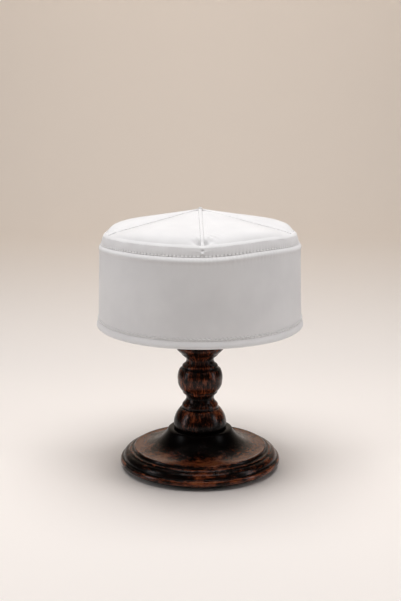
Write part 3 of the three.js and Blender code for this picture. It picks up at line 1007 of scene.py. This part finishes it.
# Seam welts: a flat felled strip lies over each seam of the crown, and it spans most
# of the pits at its lower end.
welt_proud = 0.5 * mm
knot_width = 3 * mm
welt_span = 0.7
welt_rows = 110
welt_columns = 13
welt_waves = (0.06 * mm, 0.05 * mm)


def seam_welt(name, seam):
    azimuth = math.radians(seam["azimuth"])
    start = (max(welt_width, knot_width) / 2 + gap) / crown_radius
    along = np.linspace(1, 0, welt_rows)[:, None]
    across = np.linspace(0, 1, welt_columns)[None, :]
    outward = start + (1 - start) * (1 - (1 - along) ** 1.5) + 0 * across
    sideways = welt_width * (across - 0.5)
    wobble = welt_waves[0] * np.sin(outward * 61 + 2.2 * across) + welt_waves[1] * np.sin(outward * 137)
    height = crown_height(azimuth, outward) + welt_span * pit_at(seam, outward, 0)
    middle = crown_point(azimuth, outward, height)
    middle[..., 0] += sideways * math.cos(azimuth)
    middle[..., 1] += sideways * math.sin(azimuth)
    outer = middle.copy()
    outer[..., 2] += welt_proud * np.sin(math.pi * across) ** 0.45 + wobble
    inner = middle.copy()
    inner[..., 2] -= panel_wall
    return sheet_of_cloth(name, outer, inner, crown_cotton)


for side, seam in seams.items():
    welt = seam_welt("welt_of_cotton_" + side, seam)
    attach(welt, "root")
    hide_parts("seam_welt_" + side)


# Peak knot: the thread that gathers the four seams, knotted over the hole in the
# middle and drawn tight.
knot_low, knot_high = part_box("peak_knot")
knot_thread = 0.42 * mm
knot_middle = knot_high.z - 0.55 * mm - knot_thread


# A trefoil of thread lies on a peg that goes down through the hole
def peak_knot():
    t = np.linspace(0, 2 * math.pi, 97)[:-1]
    reach = 0.78 * mm + 0.36 * mm * np.cos(3 * t)
    height = knot_middle + 0.42 * mm * np.sin(3 * t)
    path = np.stack([reach * np.cos(2 * t), reach * np.sin(2 * t), height], 1)
    slope = np.roll(path, -1, 0) - np.roll(path, 1, 0)
    slope /= np.linalg.norm(slope, axis=1, keepdims=True)
    outwards = path - np.array([0, 0, knot_middle])
    first = np.cross(slope, outwards)
    first /= np.linalg.norm(first, axis=1, keepdims=True)
    second = np.cross(first, slope)
    sides = 10
    turn = np.arange(sides) * 2 * math.pi / sides
    spokes = first[:, None] * np.cos(turn)[:, None] + second[:, None] * np.sin(turn)[:, None]
    corners = (path[:, None] + knot_thread * spokes).reshape(-1, 3).tolist()
    faces = grid_faces(len(path), sides, closed_rows=True, closed_columns=True).tolist()
    steps = 24
    start = len(corners)
    peg = [
        (0.9 * mm, knot_low.z),
        (1.3 * mm, knot_low.z + 0.3 * mm),
        (1.3 * mm, knot_high.z - 1.9 * mm),
        (0.8 * mm, knot_high.z - 1.2 * mm),
    ]
    for radius, z in peg:
        for k in range(steps):
            a = 2 * math.pi * k / steps
            corners.append([radius * math.sin(a), -radius * math.cos(a), z])
    faces += (grid_faces(len(peg), steps, closed_rows=True) + start).tolist()
    faces.append([start + k for k in range(steps - 1, -1, -1)])
    faces.append([start + (len(peg) - 1) * steps + k for k in range(steps)])
    return mesh_piece("knot_of_thread", corners, faces, white_thread)


knot = peak_knot()
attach(knot, "root")
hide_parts("peak_knot")


# Floor and backdrop: one pale matt sheet that lies flat under the stand and curves
# up far behind it.
def studio_sheet():
    finish, tree = new_finish("pale studio sheet")
    shaded(tree, {"Base Color": (0.96, 0.91, 0.87, 1), "Roughness": 0.9})
    half = 3.5
    flat_end = 1.5
    curve = 0.6
    height = 3
    clear = 0.1 * mm
    profile = [(-half, -clear), (flat_end, -clear)]
    for a in np.linspace(0, math.pi / 2, 17)[1:]:
        profile.append((flat_end + curve * math.sin(a), curve * (1 - math.cos(a))))
    profile.append((flat_end + curve, height))
    corners = [(x, y, z) for y, z in profile for x in (-half, half)]
    return mesh_piece("studio_sheet", corners, grid_faces(len(profile), 2), finish)


studio_sheet()


# Light: a broad soft light overhead, a second one high in front, a tall one on each
# side, a warm one on the backdrop, and a pale room. Sizes are in metres, powers in watts.
lights = [
    {"name": "overhead light", "place": (0, 0, 1.4), "aim": (0, 0, 0), "size": (1.0, 1.0),
     "power": 14.8, "colour": (1, 0.99, 0.985)},
    {"name": "front light", "place": (0, -0.42, 1.3), "aim": (0, 0, 0.2), "size": (1.3, 0.35),
     "power": 3.1, "colour": (1, 0.95, 0.93)},
    {"name": "left side light", "place": (-1.15, -0.32, 0.45), "aim": (0, 0, 0.12), "size": (0.25, 0.9),
     "power": 2.7, "colour": (0.97, 0.97, 1)},
    {"name": "right side light", "place": (1.15, -0.32, 0.45), "aim": (0, 0, 0.12), "size": (0.25, 0.9),
     "power": 2.5, "colour": (0.98, 0.97, 1)},
    {"name": "backdrop light", "place": (0, 1.0, 1.7), "aim": (0, 2.1, 1.3), "size": (2.4, 0.4),
     "power": 14.5, "colour": (1, 0.85, 0.69)},
]
for row in lights:
    light = bpy.data.lights.new(row["name"], "AREA")
    light.shape = "RECTANGLE"
    light.size, light.size_y = row["size"]
    light.energy = row["power"]
    light.color = row["colour"]
    lamp = bpy.data.objects.new(row["name"], light)
    lamp.location = row["place"]
    way = np.array(row["aim"]) - np.array(row["place"])
    pan = math.atan2(-way[0], way[1])
    tilt = math.atan2(way[2], math.hypot(way[0], way[1]))
    lamp.rotation_euler = (math.pi / 2 + tilt, 0, pan)
    bpy.context.scene.collection.objects.link(lamp)

world = bpy.data.worlds.new("pale room")
world.use_nodes = True
world.node_tree.nodes["Background"].inputs["Color"].default_value = (0.8, 0.78, 0.76, 1)
world.node_tree.nodes["Background"].inputs["Strength"].default_value = 0.03
bpy.context.scene.world = world
bpy.context.scene.view_settings.view_transform = "Standard"
